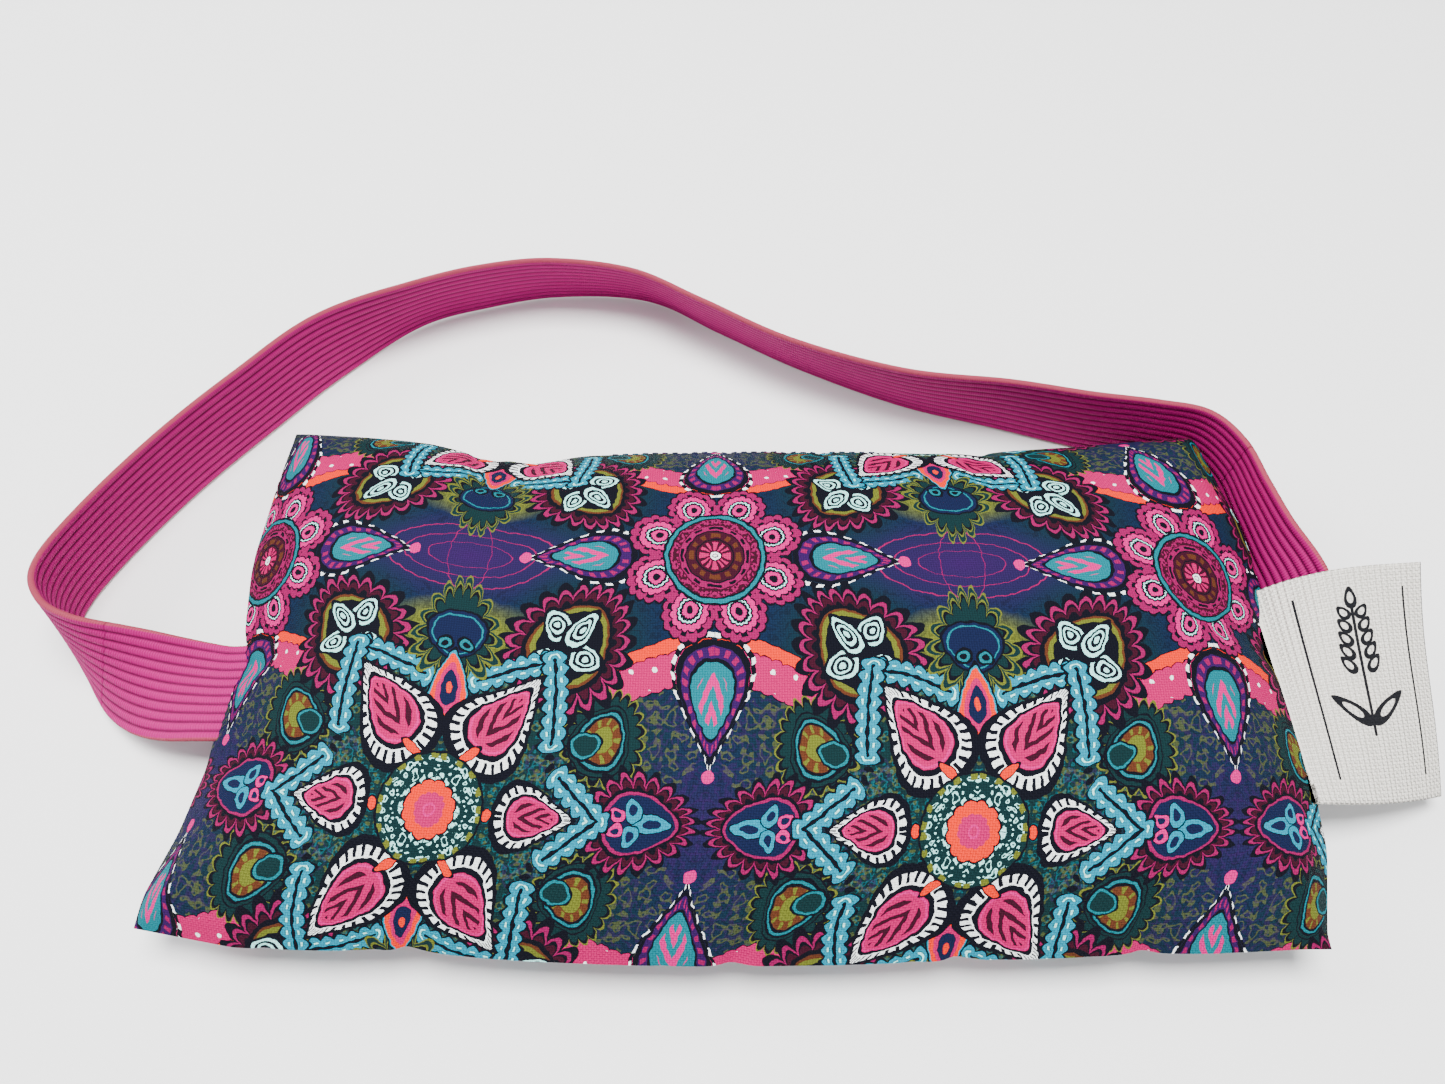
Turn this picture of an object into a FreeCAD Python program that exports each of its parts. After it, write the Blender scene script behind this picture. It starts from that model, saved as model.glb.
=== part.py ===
import FreeCAD, Part
import Sketcher
import math
import os

# Weighted eye pillow: printed cotton cover, loose seed-filled inner bag, elastic head strap
# sewn into both side seams, woven tape label sewn into the right side seam.
# Frame: origin at the centre of the underside, +X along the pillow to the label's seam,
# +Y to the edge that the strap lies behind, +Z up through the crown. Millimetres.

os.makedirs("parts", exist_ok=True)
doc = FreeCAD.newDocument("EyePillow")
vector = FreeCAD.Vector

# ---- driving dimensions ----
sizes = doc.addObject("Spreadsheet::Sheet", "Sizes")
driving = [
    ("pillow_length", 205.0),      # seam to seam, side to side
    ("pillow_width", 109.0),       # seam to seam, front to back
    ("corner_radius", 8.0),        # turned corners of the cover
    ("seam_height", 10.0),         # height of the seam over the table
    ("crown_height", 24.0),        # top of the filled crown
    ("crown_run", 40.0),           # how far in from the seam the crown is reached
    ("base_run", 24.0),            # how far in from the seam the flat rest face starts
    ("cover_wall", 0.8),           # printed cotton with its lining
    ("seam_allowance", 6.5),       # turned-in edge of each panel
    ("bag_inset", 9.0),            # the inner bag's seam, in from the cover's seam
    ("bag_wall", 0.4),             # calico
    ("slack", 0.4),                # room between the cover, the bag and the fill
    ("strap_width", 20.0),
    ("strap_thickness", 1.4),
    ("swing_offset", -6.0),        # the sewn ends lie this far from the middle line
    ("joint_gap", 0.2),            # half the clear gap where the loop leaves a sewn end
    ("left_cut", 124.0),           # the left sewn end stops this far out
    ("right_cut_radius", 24.0),    # the right sewn end stops this far from the swing axis
    ("label_width", 44.0),
    ("label_offset", -6.4),        # middle of the label along the seam
    ("label_reach", 28.0),         # free length of the label, measured level
    ("label_thickness", 0.5),
    ("tail_reach", 95.6),          # strap ends and label edge stop this far from the middle
    ("stacking_gap", 0.2),         # between the strap end and the label edge over it
    ("slot_height", 1.5),          # room for them between the two turned-in edges
    ("stitch_length", 2.2),
    ("stitch_pitch", 3.0),
    ("thread_size", 0.35),
    ("bud_length", 4.2),
    ("bud_width", 2.0),
    ("bud_depth", 2.4),
]
for row, (alias, value) in enumerate(driving, start=1):
    sizes.set("A%d" % row, alias)
    sizes.set("B%d" % row, str(value))
    sizes.setAlias("B%d" % row, alias)
doc.recompute()


def size(alias):
    return float(getattr(sizes, alias))


pieces = []


def keep(piece, label):
    piece.Label = label
    pieces.append(piece)
    return piece


# ---- sketches of rounded outlines, bound to the sheet ----
def addRoundedOutline(sketch, tag, lengthText, widthText, radiusText):
    texts = (lengthText, widthText, radiusText)
    length, width, radius = [float(sketch.evalExpression(text)) for text in texts]
    right, top = length / 2.0, width / 2.0
    sides = [
        ((radius - right, -top), (right - radius, -top)),
        ((right, radius - top), (right, top - radius)),
        ((right - radius, top), (radius - right, top)),
        ((-right, top - radius), (-right, radius - top)),
    ]
    centres = [
        (right - radius, radius - top),
        (right - radius, top - radius),
        (radius - right, top - radius),
        (radius - right, radius - top),
    ]
    first = sketch.GeometryCount
    for corner, ((start, end), centre) in enumerate(zip(sides, centres)):
        sketch.addGeometry(Part.LineSegment(vector(*start, 0), vector(*end, 0)))
        circle = Part.Circle(vector(*centre, 0), vector(0, 0, 1), radius)
        opening = math.radians(90.0 * (corner - 1))
        sketch.addGeometry(Part.ArcOfCircle(circle, opening, opening + math.pi / 2.0))
    for step in range(8):
        after = first + (step + 1) % 8
        sketch.addConstraint(Sketcher.Constraint("Tangent", first + step, 2, after, 1))
    for step in (0, 4):
        sketch.addConstraint(Sketcher.Constraint("Horizontal", first + step))
        sketch.addConstraint(Sketcher.Constraint("Vertical", first + step + 2))
    for step in (3, 5, 7):
        sketch.addConstraint(Sketcher.Constraint("Equal", first + 1, first + step))
    sketch.addConstraint(Sketcher.Constraint("Symmetric", first + 1, 3, first + 5, 3, -1, 1))
    measures = [
        ("length", Sketcher.Constraint("DistanceX", first + 6, 1, first + 2, 1, length), lengthText),
        ("width", Sketcher.Constraint("DistanceY", first, 1, first + 4, 1, width), widthText),
        ("radius", Sketcher.Constraint("Radius", first + 1, radius), radiusText),
    ]
    for name, constraint, text in measures:
        index = sketch.addConstraint(constraint)
        sketch.renameConstraint(index, tag + name)
        sketch.setExpression("Constraints." + tag + name, text)


def levelSketch(body, name, heightText):
    sketch = body.newObject("Sketcher::SketchObject", name)
    plane = [face for face in body.Origin.OriginFeatures if face.Role == "XY_Plane"][0]
    sketch.AttachmentSupport = [(plane, "")]
    sketch.MapMode = "FlatFace"
    sketch.setExpression("AttachmentOffset.Base.z", heightText)
    return sketch


# A filled half-cushion rises from its seam in a curve that flattens over its run: these are
# the shares of the run at which a section is drawn.
runShares = (0.0, 0.07, 0.17, 0.32, 0.52, 1.0)
steepness = 2.2


def cushionSections(body, name, insetText, riseText, runText, direction, shares=runShares):
    sections = []
    for number, share in enumerate(shares):
        climb = 1.0 - (1.0 - share) ** steepness
        inset = "(%s + %.3f * %s)" % (insetText, share, runText)
        height = "Sizes.seam_height + %d * %.4f * (%s)" % (direction, climb, riseText)
        sketch = levelSketch(body, "%s%s%d" % (body.Name, name, number), height)
        addRoundedOutline(
            sketch,
            "outline_",
            "Sizes.pillow_length - 2 * " + inset,
            "Sizes.pillow_width - 2 * " + inset,
            "Sizes.corner_radius + %.3f" % (4.0 * share),
        )
        sections.append(sketch)
    return sections


def addLoft(body, kind, name, sections):
    loft = body.newObject("PartDesign::" + kind, name)
    loft.Profile = sections[0]
    loft.Sections = sections[1:]
    loft.Ruled = True
    return loft


crownRise = "(Sizes.crown_height - Sizes.seam_height)"
baseRise = "Sizes.seam_height"


def clothHalf(label, insetText, wallText, clearText, direction):
    """One sewn half: an outer skin less an inner skin, open at the seam plane."""
    body = doc.addObject("PartDesign::Body", label.title().replace("_", ""))
    riseText = crownRise if direction > 0 else baseRise
    runText = "Sizes.crown_run" if direction > 0 else "Sizes.base_run"
    outer = cushionSections(body, "Outer", insetText, riseText + " - " + clearText, runText, direction)
    addLoft(body, "AdditiveLoft", "Skin", outer)
    doc.recompute()
    inner = cushionSections(
        body,
        "Inner",
        insetText + " + " + wallText,
        riseText + " - " + clearText + " - " + wallText,
        runText,
        direction,
    )
    addLoft(body, "SubtractiveLoft", "Hollow", inner)
    doc.recompute()
    return keep(body, label)


# ---- printed cover: two panels, each with its edge turned in along the seam ----
def addTurnedEdge(body, direction):
    ring = levelSketch(body, "TurnedEdgeOutline", "Sizes.seam_height")
    outerInset = "(Sizes.cover_wall * 1.6)"
    innerInset = "(Sizes.cover_wall + Sizes.seam_allowance)"
    for tag, inset in (("outer_", outerInset), ("inner_", innerInset)):
        addRoundedOutline(
            ring,
            tag,
            "Sizes.pillow_length - 2 * " + inset,
            "Sizes.pillow_width - 2 * " + inset,
            "Sizes.corner_radius - 2",
        )
    pad = body.newObject("PartDesign::Pad", "TurnedEdge")
    pad.Profile = ring
    pad.setExpression("Length", "Sizes.cover_wall")
    pad.Reversed = direction < 0
    doc.recompute()


def addSeamSlot(body, name, side, middleText, widthText, direction):
    slot = levelSketch(body, name + "Outline", "Sizes.seam_height")
    near, far, half = 90.0, 110.0, 10.0
    corners = [(near, -half), (far, -half), (far, half), (near, half)]
    for number in range(4):
        start = vector(side * corners[number][0], corners[number][1], 0)
        end = vector(side * corners[(number + 1) % 4][0], corners[(number + 1) % 4][1], 0)
        slot.addGeometry(Part.LineSegment(start, end))
    for number in range(4):
        slot.addConstraint(Sketcher.Constraint("Coincident", number, 2, (number + 1) % 4, 1))
    for number in (0, 2):
        slot.addConstraint(Sketcher.Constraint("Horizontal", number))
        slot.addConstraint(Sketcher.Constraint("Vertical", number + 1))
    nearEdge = Sketcher.Constraint("DistanceX", -1, 1, 3, 1, side * near)
    farEdge = Sketcher.Constraint("DistanceX", -1, 1, 1, 1, side * far)
    lowEdge = Sketcher.Constraint("DistanceY", -1, 1, 0, 1, -half)
    highEdge = Sketcher.Constraint("DistanceY", -1, 1, 2, 1, half)
    texts = [
        ("near", nearEdge, "%d * (Sizes.tail_reach - 0.3)" % side),
        ("far", farEdge, "%d * (Sizes.pillow_length / 2 + 3)" % side),
        ("low", lowEdge, "%s - %s / 2 - 0.2" % (middleText, widthText)),
        ("high", highEdge, "%s + %s / 2 + 0.2" % (middleText, widthText)),
    ]
    for title, constraint, text in texts:
        index = slot.addConstraint(constraint)
        slot.renameConstraint(index, title)
        slot.setExpression("Constraints." + title, text)
    before = body.Shape.Volume
    pocket = body.newObject("PartDesign::Pocket", name)
    pocket.Profile = slot
    pocket.setExpression("Length", "Sizes.slot_height")
    pocket.Reversed = direction > 0
    doc.recompute()
    if not body.Shape.Volume < before - 1.0:
        raise RuntimeError(name + " cuts nothing")


for label, direction in (("cover_front", 1), ("cover_back", -1)):
    cover = clothHalf(label, "0", "Sizes.cover_wall", "0", direction)
    addTurnedEdge(cover, direction)
    addSeamSlot(cover, "LeftSlot", -1, "Sizes.swing_offset", "Sizes.strap_width", direction)
    if direction > 0:
        addSeamSlot(cover, "RightSlot", 1, "Sizes.label_offset", "Sizes.label_width", direction)
    else:
        addSeamSlot(cover, "RightSlot", 1, "Sizes.swing_offset", "Sizes.strap_width", direction)

# ---- calico inner bag, in two halves like the cover ----
bagClear = "Sizes.cover_wall - Sizes.slack"
clothHalf("inner_bag_front", "Sizes.bag_inset", "Sizes.bag_wall", bagClear, 1)
clothHalf("inner_bag_back", "Sizes.bag_inset", "Sizes.bag_wall", bagClear, -1)

# ---- seed fill, lower than its bag by the layer of loose flowers on top of it ----
fillInset = "(Sizes.bag_inset + Sizes.bag_wall + Sizes.slack)"
fillClear = "Sizes.cover_wall - 2 * Sizes.slack - Sizes.bag_wall"
fillLow = baseRise + " - " + fillClear
fillHigh = crownRise + " - " + fillClear + " - Sizes.bud_depth"
fill = doc.addObject("Part::Fuse", "SeedFill")
for role, name, riseText, runText, direction in (
    ("Base", "LowerSeed", fillLow, "Sizes.base_run", -1),
    ("Tool", "UpperSeed", fillHigh, "Sizes.crown_run", 1),
):
    half = doc.addObject("PartDesign::Body", name)
    levels = cushionSections(half, "Level", fillInset, riseText, runText, direction)
    addLoft(half, "AdditiveLoft", name + "Loft", levels)
    setattr(fill, role, half)
doc.recompute()
keep(fill, "flax_seed_fill")


def shapePiece(label, shape):
    piece = doc.addObject("Part::Feature", label.title().replace("_", ""))
    piece.Shape = shape
    return keep(piece, label)


# ---- dried lavender buds, loose on top of the seed ----
budRows, budColumns = 3, 17
budFloor = size("crown_height") - size("cover_wall") - 2 * size("slack") - size("bag_wall")
budFloor = budFloor - size("bud_depth")
budPitch = size("pillow_length") * 0.42 / (budColumns - 1)
buds = []
for row in range(budRows):
    for column in range(budColumns):
        stretch = FreeCAD.Matrix()
        stretch.scale(size("bud_length") / 2.0, size("bud_width") / 2.0, size("bud_width") / 2.0)
        bud = Part.makeSphere(1.0).transformGeometry(stretch)
        turn = 25.0 * math.sin(2.4 * column + 1.7 * row)
        bud.rotate(vector(0, 0, 0), vector(0, 0, 1), turn)
        along = (column - (budColumns - 1) / 2.0) * budPitch
        across = (row - (budRows - 1) / 2.0) * size("bud_width") * 1.6
        bud.translate(vector(along, across, budFloor + size("bud_width") / 2.0))
        buds.append(bud)
shapePiece("lavender_buds", Part.makeCompound(buds))


# ---- elastic strap ----
# Its middle line from inside the left side seam, round behind the pillow and into the right
# side seam: x, y, height and lean. A lean of 0 stands on edge, 90 lies flat, and a positive
# lean tips the upper edge away from the inside of the loop.
strapRoute = [
    (-95.6, -6.0, 10.0, -90.0),
    (-103.0, -6.0, 10.0, -90.0),
    (-112.5, -4.8, 10.0, -70.0),
    (-121.5, -1.8, 10.0, -45.0),
    (-130.0, 2.8, 10.0, -19.0),
    (-136.6, 8.6, 10.1, -6.0),
    (-139.4, 17.0, 10.1, 0.0),
    (-134.6, 30.4, 10.1, 2.0),
    (-124.2, 49.2, 10.1, 1.0),
    (-112.0, 66.5, 10.1, 0.0),
    (-98.4, 83.6, 10.1, -4.0),
    (-80.4, 97.4, 10.0, -13.0),
    (-64.0, 104.0, 9.9, -18.0),
    (-46.0, 107.4, 9.7, -21.0),
    (-24.8, 105.0, 9.5, -26.0),
    (-7.3, 94.4, 9.5, -25.0),
    (12.7, 82.0, 9.5, -25.0),
    (36.8, 71.3, 9.8, -19.0),
    (59.6, 65.8, 10.1, -9.0),
    (76.5, 61.4, 10.1, -4.0),
    (90.5, 58.6, 10.1, -1.0),
    (100.6, 55.3, 10.1, 2.0),
    (105.6, 47.4, 10.1, 4.0),
    (107.0, 37.0, 10.1, 7.0),
    (108.2, 27.0, 10.0, 13.0),
    (109.8, 18.0, 9.6, 26.0),
    (110.4, 9.5, 7.4, 47.0),
    (109.0, 1.5, 7.4, 66.0),
    (105.6, -4.6, 9.3, 84.0),
    (101.5, -6.0, 10.0, 90.0),
    (98.5, -6.0, 10.0, 90.0),
    (95.6, -6.0, 10.0, 90.0),
]
strapSteps = 4      # ruled spans between two points of the route


def ribbonSection(centre, travel, lean, width, thickness):
    across = vector(travel.y, -travel.x, 0)      # horizontal, to the inside of the loop
    across.normalize()
    tilt = math.radians(lean)
    upward = vector(0, 0, 1) * math.cos(tilt) - across * math.sin(tilt)
    face = travel.cross(upward)
    face.normalize()
    corners = []
    for side, depth in ((-1, -1), (1, -1), (1, 1), (-1, 1), (-1, -1)):
        corners.append(centre + upward * (side * width / 2.0) + face * (depth * thickness / 2.0))
    return Part.makePolygon(corners)


def strapShape():
    middle = Part.BSplineCurve()
    middle.interpolate([vector(x, y, z) for x, y, z, lean in strapRoute])
    knots = middle.getKnots()
    sections = []
    for number in range(len(strapRoute) - 1):
        for step in range(strapSteps):
            share = step / float(strapSteps)
            knot = knots[number] + (knots[number + 1] - knots[number]) * share
            lean = strapRoute[number][3] * (1.0 - share) + strapRoute[number + 1][3] * share
            sections.append((middle.value(knot), middle.tangent(knot)[0], lean))
    sections.append((middle.value(knots[-1]), middle.tangent(knots[-1])[0], strapRoute[-1][3]))
    wires = []
    for centre, travel, lean in sections:
        wires.append(ribbonSection(centre, travel, lean, size("strap_width"), size("strap_thickness")))
    print("strap middle line, mm:", round(middle.length(), 1))
    return Part.makeLoft(wires, True, True)


strapWhole = doc.addObject("Part::Feature", "StrapWhole")
strapWhole.Shape = strapShape()


def leftBlock(name, growText):
    """Takes in the strap from the left seam out to its cut, which is square to the axis."""
    block = doc.addObject("Part::Box", name)
    block.setExpression("Length", "Sizes.left_cut + %s - 90" % growText)
    block.setExpression("Placement.Base.x", "-Sizes.left_cut - %s" % growText)
    block.Width = 60.0
    block.Height = 60.0
    block.setExpression("Placement.Base.y", "Sizes.swing_offset - 30")
    block.Placement.Base.z = -20.0
    return block


def rightDrum(name, growText):
    """Takes in the strap near the right seam: a drum round the swing axis."""
    drum = doc.addObject("Part::Cylinder", name)
    drum.setExpression("Radius", "Sizes.right_cut_radius + " + growText)
    drum.Height = 60.0
    drum.Placement = FreeCAD.Placement(vector(90.0, 0, 0), FreeCAD.Rotation(vector(0, 1, 0), 90))
    drum.setExpression("Placement.Base.y", "Sizes.swing_offset")
    drum.setExpression("Placement.Base.z", "Sizes.seam_height")
    return drum


for label, maker in (("strap_end_left", leftBlock), ("strap_end_right", rightDrum)):
    part = doc.addObject("Part::Common", label.title().replace("_", ""))
    part.Base = strapWhole
    part.Tool = maker(label.title().replace("_", "") + "Space", "(-Sizes.joint_gap)")
    keep(part, label)
openLeft = doc.addObject("Part::Cut", "StrapLessLeft")
openLeft.Base = strapWhole
openLeft.Tool = leftBlock("LoopClearLeft", "Sizes.joint_gap")
loop = doc.addObject("Part::Cut", "ElasticStrap")
loop.Base = openLeft
loop.Tool = rightDrum("LoopClearRight", "Sizes.joint_gap")
keep(loop, "elastic_strap")


# ---- woven tape label: a sewn edge in the seam and a free flap that twists as it reaches out ----
def labelSection(reach, lowEnd, highEnd):
    """A thin upright section across the label, from its front end to its back end."""
    half = size("label_thickness") / 2.0
    (frontY, frontZ), (backY, backZ) = lowEnd, highEnd
    front = vector(reach[0], frontY, frontZ)
    back = vector(reach[1], backY, backZ)
    lift = vector(0, 0, half)
    return Part.makePolygon([front - lift, back - lift, back + lift, front + lift, front - lift])


labelFront = size("label_offset") - size("label_width") / 2.0
labelBack = size("label_offset") + size("label_width") / 2.0
labelRoot = size("pillow_length") / 2.0 + 0.7
labelBase = size("seam_height") + size("strap_thickness") / 2.0 + size("stacking_gap")
labelBase = labelBase + size("label_thickness") / 2.0
labelSteps = 8
flapSections = []
for step in range(labelSteps + 1):
    share = step / float(labelSteps)
    backRise = 9.2 * (1.0 - (1.0 - share) ** 3.2)      # carried up by the strap under it
    frontDrop = 7.4 * share ** 1.4                     # sags to the table
    reach = labelRoot + size("label_reach") * share
    frontEnd = (labelFront + 4.0 * share ** 2, labelBase - frontDrop)
    backEnd = (labelBack + 1.0 * share, labelBase + backRise)
    flapSections.append(labelSection((reach - 1.5 * share, reach), frontEnd, backEnd))
shapePiece("side_label", Part.makeLoft(flapSections, True, True))

edge = doc.addObject("Part::Box", "LabelSewnEdge")
edge.setExpression("Length", "Sizes.pillow_length / 2 - Sizes.tail_reach")
edge.setExpression("Width", "Sizes.label_width")
edge.setExpression("Height", "Sizes.label_thickness")
edge.setExpression("Placement.Base.x", "Sizes.tail_reach")
edge.setExpression("Placement.Base.y", "Sizes.label_offset - Sizes.label_width / 2")
edge.setExpression("Placement.Base.z", "Sizes.seam_height + Sizes.strap_thickness / 2 + Sizes.stacking_gap")
keep(edge, "label_sewn_edge")


# ---- stitching, each row a group of separate stitches ----
def stitchRow(start, end, height):
    """Level stitches from start to end, resting on the cloth at this height."""
    span = vector(end[0] - start[0], end[1] - start[1], 0)
    count = max(1, int(span.Length / size("stitch_pitch")))
    heading = math.degrees(math.atan2(span.y, span.x))
    thread = size("thread_size")
    row = []
    for number in range(count):
        share = (number + 0.5) / count
        stitch = Part.makeBox(size("stitch_length"), thread, thread)
        stitch.translate(vector(-size("stitch_length") / 2.0, -thread / 2.0, 0))
        stitch.rotate(vector(0, 0, 0), vector(0, 0, 1), heading)
        stitch.translate(vector(start[0] + span.x * share, start[1] + span.y * share, height))
        row.append(stitch)
    return row


seamX = size("pillow_length") / 2.0 - 4.4
seamY = size("pillow_width") / 2.0 - 4.4
bend = size("corner_radius")
onEdge = size("seam_height") + size("cover_wall")
strapLow = size("swing_offset") - size("strap_width") / 2.0 - 0.5
strapHigh = size("swing_offset") + size("strap_width") / 2.0 + 0.5
seamRows = [
    ((bend - seamX, -seamY), (seamX - bend, -seamY)),
    ((bend - seamX, seamY), (seamX - bend, seamY)),
    ((-seamX, bend - seamY), (-seamX, strapLow)),
    ((-seamX, strapHigh), (-seamX, seamY - bend)),
    ((seamX, bend - seamY), (seamX, labelFront - 0.5)),
    ((seamX, labelBack + 0.5), (seamX, seamY - bend)),
]
seamStitches = []
for start, end in seamRows:
    seamStitches += stitchRow(start, end, onEdge)
shapePiece("cover_seam_stitching", Part.makeCompound(seamStitches))

tackRows = (96.6, 98.1, 99.6)      # distances from the middle of the pillow
strapUnder = size("seam_height") - size("strap_thickness") / 2.0 - size("thread_size")
strapUnder = strapUnder - size("stacking_gap") / 4.0
for label, side in (("strap_tack_left", -1), ("strap_tack_right", 1)):
    tack = []
    for reach in tackRows:
        tack += stitchRow((side * reach, strapLow + 1.5), (side * reach, strapHigh - 1.5), strapUnder)
    shapePiece(label, Part.makeCompound(tack))

labelTop = labelBase + size("label_thickness") / 2.0
labelStitches = stitchRow((seamX, labelFront + 1.0), (seamX, labelBack - 1.0), labelTop)
shapePiece("label_stitching", Part.makeCompound(labelStitches))

bagX = size("pillow_length") / 2.0 - size("bag_inset") + size("thread_size")
bagY = size("pillow_width") / 2.0 - size("bag_inset") + size("thread_size")
bagStitches = []
for side in (-1, 1):
    bagStitches += stitchRow((bend - bagX, side * bagY), (bagX - bend, side * bagY), size("seam_height"))
    bagStitches += stitchRow((side * bagX, bend - bagY), (side * bagX, bagY - bend), size("seam_height"))
shapePiece("inner_bag_stitching", Part.makeCompound(bagStitches))

# The turning gap in the back edge is closed from outside with small ladder stitches.
closingHalf = 30.0
closingY = size("pillow_width") / 2.0 + 0.05 + size("thread_size") / 2.0
closing = []
rungs = int(2 * closingHalf / size("stitch_pitch"))
for number in range(rungs):
    along = -closingHalf + (number + 0.5) * size("stitch_pitch")
    rung = Part.makeBox(size("thread_size"), size("thread_size"), size("stitch_length") * 0.7)
    rung.translate(vector(along, closingY - size("thread_size") / 2.0, 0))
    rung.translate(vector(0, 0, size("seam_height") - size("stitch_length") * 0.35))
    closing.append(rung)
shapePiece("closing_stitches", Part.makeCompound(closing))

# ---- test and write ----
doc.recompute()
for item in doc.Objects:
    if "Invalid" in item.State or "Error" in item.State:
        raise RuntimeError("failed feature: " + item.Label)
for piece in pieces:
    if piece.Shape.isNull() or not piece.Shape.isValid():
        raise RuntimeError("bad shape: " + piece.Label)
    box = piece.Shape.BoundBox
    print("%-22s solids %3d  volume %9.1f  z %.2f to %.2f" % (
        piece.Label, len(piece.Shape.Solids), piece.Shape.Volume, box.ZMin, box.ZMax))
for piece in pieces:
    piece.Shape.exportStep("parts/%s.step" % piece.Label)
print("pieces written:", len(pieces))
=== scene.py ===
import math
import bpy
import numpy as np
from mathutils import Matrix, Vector


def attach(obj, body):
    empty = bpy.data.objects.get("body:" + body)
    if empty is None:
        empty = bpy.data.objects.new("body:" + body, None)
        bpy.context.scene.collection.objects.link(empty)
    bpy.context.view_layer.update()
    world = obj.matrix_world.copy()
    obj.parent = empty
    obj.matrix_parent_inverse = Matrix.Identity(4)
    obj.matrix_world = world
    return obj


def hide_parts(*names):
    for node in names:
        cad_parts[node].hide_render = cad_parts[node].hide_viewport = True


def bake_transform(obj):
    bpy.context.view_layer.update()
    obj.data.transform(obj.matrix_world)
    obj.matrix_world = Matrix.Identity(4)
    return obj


# Weighted eye pillow seen as it lies on a table, with its strap looped out behind it.
# Metres in the shared frame: +X along the pillow to the label, +Y to the strap, +Z up.

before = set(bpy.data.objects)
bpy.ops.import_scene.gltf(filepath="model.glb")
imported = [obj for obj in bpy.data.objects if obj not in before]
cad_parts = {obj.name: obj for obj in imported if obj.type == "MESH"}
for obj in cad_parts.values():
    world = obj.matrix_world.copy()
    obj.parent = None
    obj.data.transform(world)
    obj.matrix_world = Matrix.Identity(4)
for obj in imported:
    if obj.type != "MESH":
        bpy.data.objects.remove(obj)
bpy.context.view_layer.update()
mm = 0.001


# Small helpers.
def toLinear(red, green, blue):
    channels = []
    for value in (red, green, blue):
        share = value / 255.0
        low = share <= 0.04045
        channels.append(share / 12.92 if low else ((share + 0.055) / 1.055) ** 2.4)
    return (*channels, 1.0)


def makeMesh(name, points, faces, cloth=None):
    mesh = bpy.data.meshes.new(name)
    mesh.from_pydata([tuple(p) for p in points], [], faces)
    mesh.update()
    mesh.polygons.foreach_set("use_smooth", [True] * len(mesh.polygons))
    if cloth is not None:
        layer = mesh.uv_layers.new(name="clothMap")
        corners = np.zeros(len(mesh.loops), int)
        mesh.loops.foreach_get("vertex_index", corners)
        layer.data.foreach_set("uv", np.asarray(cloth, float)[corners].ravel())
    piece = bpy.data.objects.new(name, mesh)
    bpy.context.scene.collection.objects.link(piece)
    return piece


def smoothShare(low, high, value):
    share = np.clip((value - low) / (high - low), 0.0, 1.0)
    return share * share * (3.0 - 2.0 * share)


# A curve through every point, sampled evenly along its length.
def sampleRoute(points, step):
    points = np.asarray(points, float)
    padded = np.vstack([2 * points[0] - points[1], points, 2 * points[-1] - points[-2]])
    path = []
    for before, here, after, beyond in zip(padded, padded[1:], padded[2:], padded[3:]):
        for share in np.linspace(0.0, 1.0, 24, endpoint=False):
            square, cube = share ** 2, share ** 3
            path.append(0.5 * (
                2 * here
                + (after - before) * share
                + (2 * before - 5 * here + 4 * after - beyond) * square
                + (3 * here - before - 3 * after + beyond) * cube
            ))
    path = np.array(path + [points[-1]])
    run = np.concatenate([[0.0], np.cumsum(np.linalg.norm(np.diff(path[:, :3], axis=0), axis=1))])
    wanted = np.linspace(0.0, run[-1], int(run[-1] / step) + 1)
    sampled = np.stack([np.interp(wanted, run, path[:, axis]) for axis in range(path.shape[1])], 1)
    return sampled, wanted


# Shader graph helpers.
def addNode(tree, kind, inputs=None, **settings):
    node = tree.nodes.new(kind)
    for key, value in settings.items():
        setattr(node, key, value)
    for key, value in (inputs or {}).items():
        if isinstance(value, bpy.types.NodeSocket):
            tree.links.new(value, node.inputs[key])
        else:
            node.inputs[key].default_value = value
    return node


def calc(tree, operation, first, second=0.0, third=0.0, clamp=False):
    inputs = {0: first, 1: second, 2: third}
    return addNode(tree, "ShaderNodeMath", inputs, operation=operation, use_clamp=clamp).outputs[0]


def vectorCalc(tree, operation, first, second=None):
    inputs = {0: first}
    if second is not None:
        inputs[1] = second
    return addNode(tree, "ShaderNodeVectorMath", inputs, operation=operation)


def mixColour(tree, share, under, over, blend="MIX"):
    inputs = {0: share, 6: under, 7: over}
    return addNode(tree, "ShaderNodeMix", inputs, data_type="RGBA", blend_type=blend).outputs[2]


def noiseNode(tree, vector, scale, detail):
    inputs = {"Vector": vector, "Scale": scale, "Detail": detail}
    return addNode(tree, "ShaderNodeTexNoise", inputs)


def splitVector(tree, vector):
    return addNode(tree, "ShaderNodeSeparateXYZ", {0: vector}).outputs


def makeGroup(name, inputs, outputs):
    tree = bpy.data.node_groups.new(name, "ShaderNodeTree")
    for label, kind in inputs:
        tree.interface.new_socket(name=label, in_out="INPUT", socket_type="NodeSocket" + kind)
    for label, kind in outputs:
        tree.interface.new_socket(name=label, in_out="OUTPUT", socket_type="NodeSocket" + kind)
    return tree, tree.nodes.new("NodeGroupInput").outputs, tree.nodes.new("NodeGroupOutput").inputs


def placeGroup(tree, group, inputs):
    node = tree.nodes.new("ShaderNodeGroup")
    node.node_tree = group
    for key, value in inputs.items():
        if isinstance(value, bpy.types.NodeSocket):
            tree.links.new(value, node.inputs[key])
        else:
            node.inputs[key].default_value = value
    return node.outputs


def newMaterial(name):
    material = bpy.data.materials.new(name)
    material.use_nodes = True
    return material, material.node_tree, material.node_tree.nodes["Principled BSDF"]


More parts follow.
